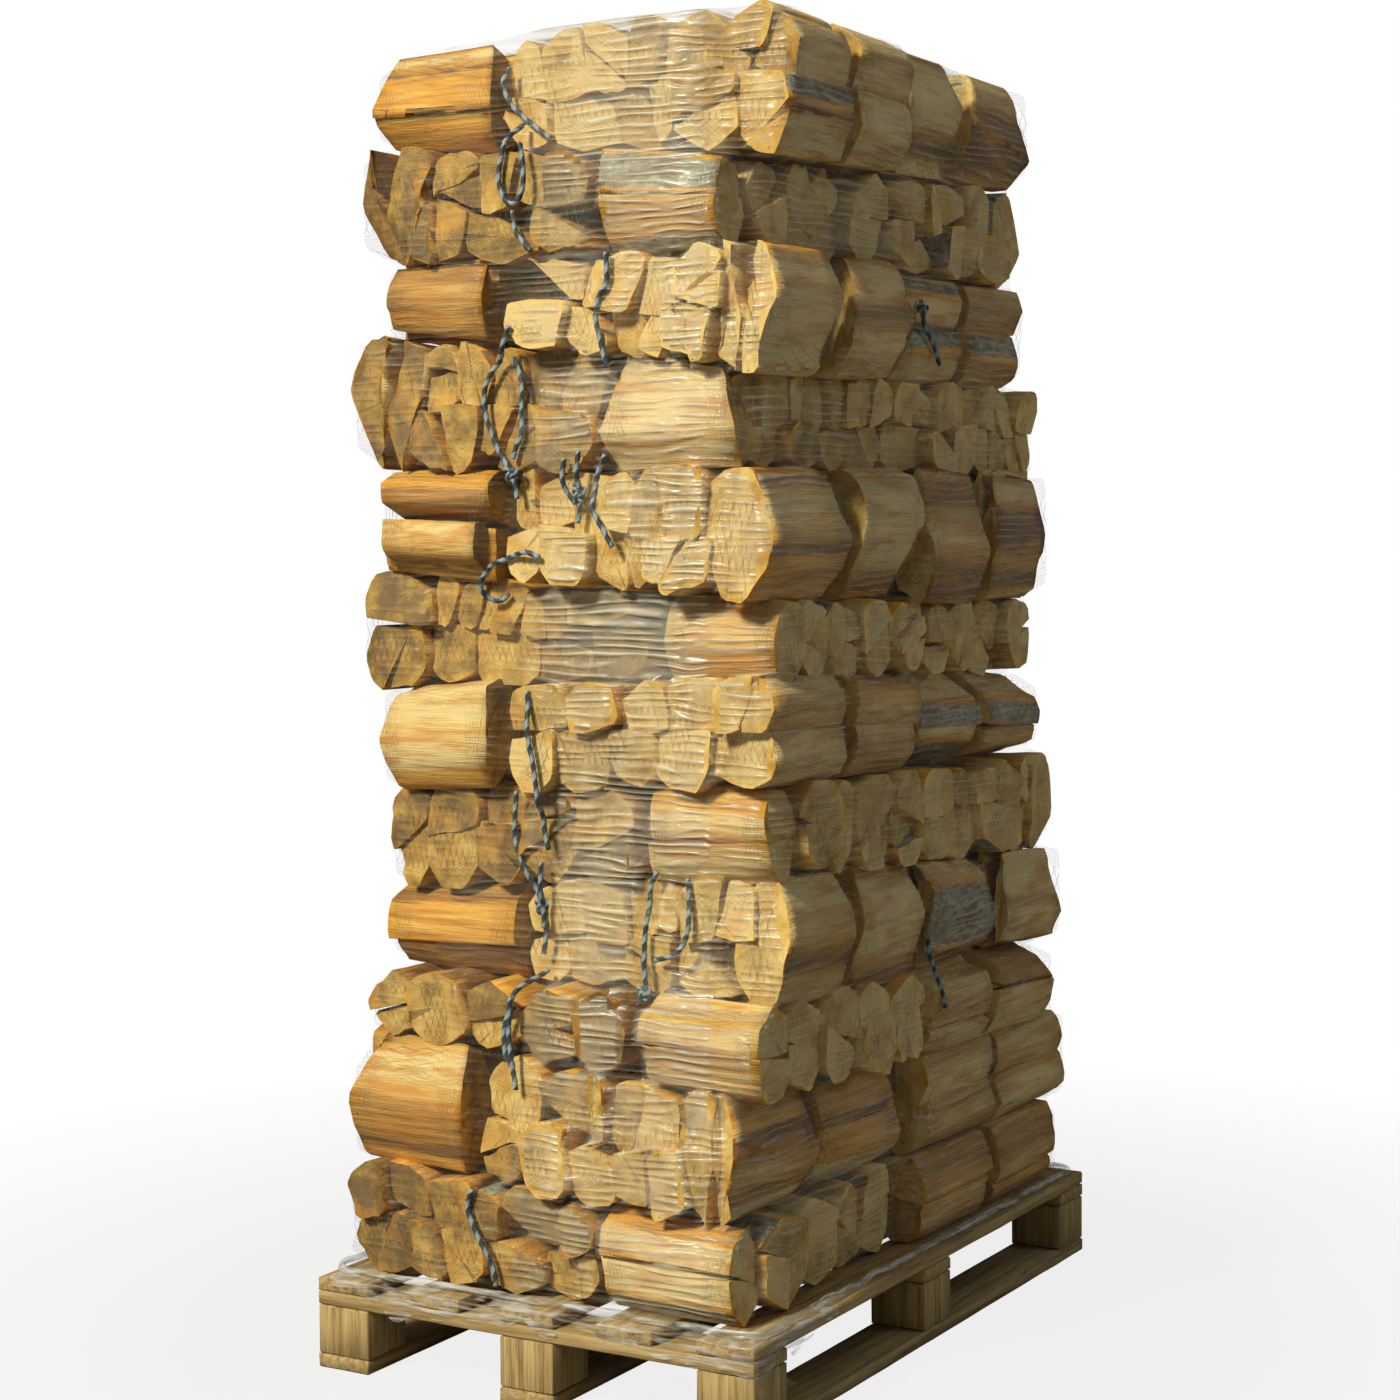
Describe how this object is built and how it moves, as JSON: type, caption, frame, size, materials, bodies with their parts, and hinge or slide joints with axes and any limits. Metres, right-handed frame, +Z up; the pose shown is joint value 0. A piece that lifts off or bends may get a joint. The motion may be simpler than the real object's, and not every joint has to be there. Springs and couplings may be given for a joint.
{
  "type": "pallet of firewood bags",
  "caption": "Tall stack of short split logs in net bags, cross-laid in layers on a wooden fork pallet and wound in clear stretch film.",
  "frame": {"origin": "centre of the pallet's footprint, on the floor it stands on", "axes": "+Z up; X along the pallet's short side, with the whole long side that shows at +X; Y along its long side, with the front short end at -Y"},
  "size_m": [0.8, 1.2, 2.1165],
  "materials": {
    "skid_wood": "rough sawn, weathered",
    "board_wood": "rough sawn, weathered",
    "firewood": "freshly split and sawn, with bark",
    "stretch_film": "clear cling film, gathered into a rope"
  },
  "bodies": {
    "root": {"skid_left": "skid_wood", "skid_middle": "skid_wood", "skid_right": "skid_wood", "stringer_front": "board_wood", "stringer_middle": "board_wood", "stringer_back": "board_wood", "deck_board_1": "board_wood", "deck_board_2": "board_wood", "deck_board_3": "board_wood", "deck_board_4": "board_wood", "deck_board_5": "board_wood", "bag_01_front_left": "firewood", "bag_01_front_right": "firewood", "bag_01_back_left": "firewood", "bag_01_back_right": "firewood", "bag_02_front_left": "firewood", "bag_02_front_right": "firewood", "bag_02_back_left": "firewood", "bag_02_back_right": "firewood", "bag_03_front_left": "firewood", "bag_03_front_right": "firewood", "bag_03_back_left": "firewood", "bag_03_back_right": "firewood", "bag_04_front_left": "firewood", "bag_04_front_right": "firewood", "bag_04_back_left": "firewood", "bag_04_back_right": "firewood", "bag_05_front_left": "firewood", "bag_05_front_right": "firewood", "bag_05_back_left": "firewood", "bag_05_back_right": "firewood", "bag_06_front_left": "firewood", "bag_06_front_right": "firewood", "bag_06_back_left": "firewood", "bag_06_back_right": "firewood", "bag_07_front_left": "firewood", "bag_07_front_right": "firewood", "bag_07_back_left": "firewood", "bag_07_back_right": "firewood", "bag_08_front_left": "firewood", "bag_08_front_right": "firewood", "bag_08_back_left": "firewood", "bag_08_back_right": "firewood", "bag_09_front_left": "firewood", "bag_09_front_right": "firewood", "bag_09_back_left": "firewood", "bag_09_back_right": "firewood", "bag_10_front_left": "firewood", "bag_10_front_right": "firewood", "bag_10_back_left": "firewood", "bag_10_back_right": "firewood", "bag_11_front_left": "firewood", "bag_11_front_right": "firewood", "bag_11_back_left": "firewood", "bag_11_back_right": "firewood", "bag_12_front_left": "firewood", "bag_12_front_right": "firewood", "bag_12_back_left": "firewood", "bag_12_back_right": "firewood", "film_foot": "stretch_film"}
  },
  "joints": []
}
